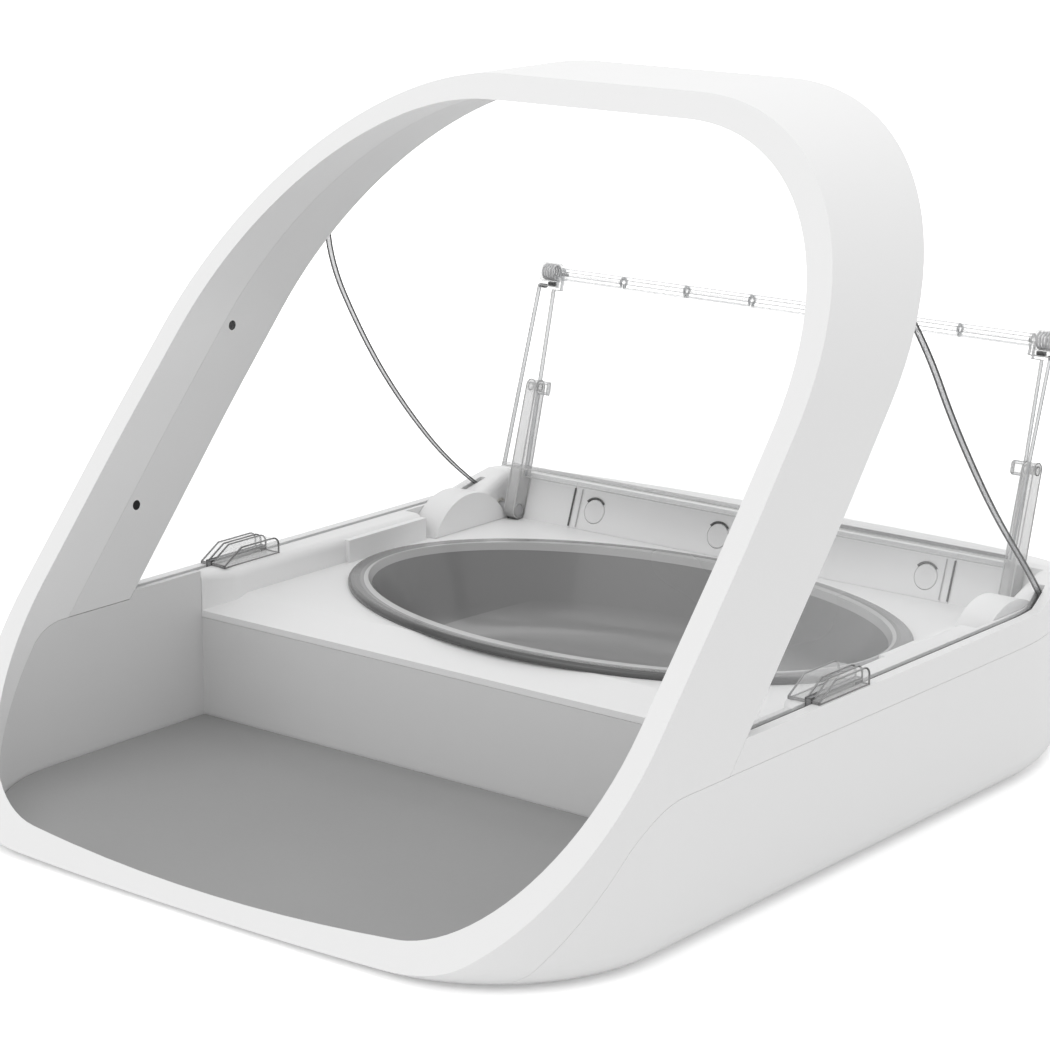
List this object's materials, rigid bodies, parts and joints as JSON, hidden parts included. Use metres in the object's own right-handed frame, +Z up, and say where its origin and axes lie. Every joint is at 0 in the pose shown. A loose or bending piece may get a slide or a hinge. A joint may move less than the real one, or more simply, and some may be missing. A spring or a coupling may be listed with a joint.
{
  "type": "microchip pet feeder",
  "caption": "White pet feeder with a sloping hoop, clear side shields, folding clear lid over an oval grey bowl, loose mat in the front tray and round push buttons at the back.",
  "frame": {"origin": "middle of the feeder's plan, on the plane that its feet stand on", "axes": "+X to the right of someone facing the hoop's opening, +Y from the front to the back, +Z up"},
  "size_m": [0.23, 0.3177, 0.202],
  "materials": {
    "white_plastic": "satin",
    "clear_plastic": "clear",
    "grey_plastic": "satin",
    "bowl_plastic": "satin",
    "mat_rubber": "matt",
    "foot_rubber": "matt",
    "seal_rubber": "clear",
    "black_plastic": "gloss",
    "gear_plastic": "natural",
    "steel": "bright",
    "copper": "enamelled wire",
    "board_green": "solder mask",
    "cell_wrap": "film wrap"
  },
  "bodies": {
    "base": {"hoop_shell": "white_plastic", "hoop_liner": "white_plastic", "antenna_coil": "copper", "sensor_windows": "black_plastic", "lower_housing": "white_plastic", "rubber_feet": "foot_rubber", "mat_tray": "white_plastic", "deck": "white_plastic", "gear_cover_left": "white_plastic", "gear_cover_right": "white_plastic", "side_shield_left": "clear_plastic", "side_shield_right": "clear_plastic", "shield_clip_left": "grey_plastic", "shield_clip_right": "grey_plastic", "lid_bushes": "gear_plastic", "motor": "steel", "gearbox_frame": "gear_plastic", "gear_axles": "steel", "button_panel": "white_plastic", "circuit_board": "board_green", "tactile_switches": "black_plastic", "board_components": "black_plastic", "board_screws": "steel", "lid_switch": "black_plastic", "battery_cells": "cell_wrap", "battery_contacts": "steel", "housing_screws": "steel"},
    "lid": {"lid_arm_left": "grey_plastic", "lid_arm_right": "grey_plastic", "lid_rear_panel": "clear_plastic", "hinge_barrel_left": "grey_plastic", "hinge_barrel_right": "grey_plastic", "hinge_rod": "grey_plastic", "fold_spring_left": "steel", "fold_spring_right": "steel", "lid_studs": "grey_plastic", "lid_shafts": "steel", "lid_gear": "gear_plastic"},
    "lid_flap": {"lid_front_panel": "clear_plastic", "lid_edge_seal": "seal_rubber"},
    "drive": {"drive_wheel": "gear_plastic"},
    "compound": {"compound_gear": "gear_plastic"},
    "motor_rotor": {"motor_shaft": "steel", "motor_pinion": "gear_plastic"},
    "bowl_body": {"bowl": "bowl_plastic"},
    "mat_body": {"mat": "mat_rubber"},
    "button_left_body": {"button_left": "white_plastic"},
    "button_middle_body": {"button_middle": "white_plastic"},
    "button_right_body": {"button_right": "white_plastic"},
    "battery_door_left_body": {"battery_door_left": "white_plastic"},
    "battery_door_right_body": {"battery_door_right": "white_plastic"}
  },
  "joints": [
    {"name": "lid_turn", "type": "hinge", "parent": "base", "child": "lid", "pos_m": [0, 0.09249, 0.04525], "axis": [-1, 0, 0], "range_deg": [-100.3, 0]},
    {"name": "fold_turn", "type": "hinge", "parent": "lid", "child": "lid_flap", "pos_m": [0, 0.11148, 0.12317], "axis": [-1, 0, 0], "range_deg": [0, 169.8]},
    {"name": "drive_turn", "type": "hinge", "parent": "base", "child": "drive", "pos_m": [0, 0.073, 0.034], "axis": [-1, 0, 0], "range_deg": [0, 36.7]},
    {"name": "compound_turn", "type": "hinge", "parent": "base", "child": "compound", "pos_m": [0, 0.05549, 0.02153], "axis": [-1, 0, 0], "range_deg": [-120.6, 0]},
    {"name": "motor_turn", "type": "hinge", "parent": "base", "child": "motor_rotor", "pos_m": [0, 0.07334, 0.01503], "axis": [-1, 0, 0], "range_deg": [0, 337.4]},
    {"name": "bowl_lift", "type": "slide", "parent": "base", "child": "bowl_body", "axis": [0, -0.1191, 0.9929], "range_m": [0, 0.06]},
    {"name": "mat_lift", "type": "slide", "parent": "base", "child": "mat_body", "axis": [0, 0, 1], "range_m": [0, 0.03]},
    {"name": "button_left_press", "type": "slide", "parent": "base", "child": "button_left_body", "axis": [0, 0.9415, -0.3371], "range_m": [0, 0.001], "stiffness_N_per_m": 400, "springref_m": -0.0005},
    {"name": "button_middle_press", "type": "slide", "parent": "base", "child": "button_middle_body", "axis": [0, 0.9415, -0.3371], "range_m": [0, 0.001], "stiffness_N_per_m": 400, "springref_m": -0.0005},
    {"name": "button_right_press", "type": "slide", "parent": "base", "child": "button_right_body", "axis": [0, 0.9415, -0.3371], "range_m": [0, 0.001], "stiffness_N_per_m": 400, "springref_m": -0.0005},
    {"name": "battery_door_left_swing", "type": "hinge", "parent": "base", "child": "battery_door_left_body", "pos_m": [-0.02835, 0.0882, 0.002], "axis": [-1, 0, 0], "range_deg": [0, 100]},
    {"name": "battery_door_right_swing", "type": "hinge", "parent": "base", "child": "battery_door_right_body", "pos_m": [0.02835, 0.0882, 0.002], "axis": [-1, 0, 0], "range_deg": [0, 100]}
  ],
  "couplings": [
    {"joint": "fold_turn", "follows": "lid_turn", "ratio": -1.691},
    {"joint": "drive_turn", "follows": "lid_turn", "ratio": -0.36364},
    {"joint": "compound_turn", "follows": "lid_turn", "ratio": 1.2},
    {"joint": "motor_turn", "follows": "lid_turn", "ratio": -3.36}
  ]
}
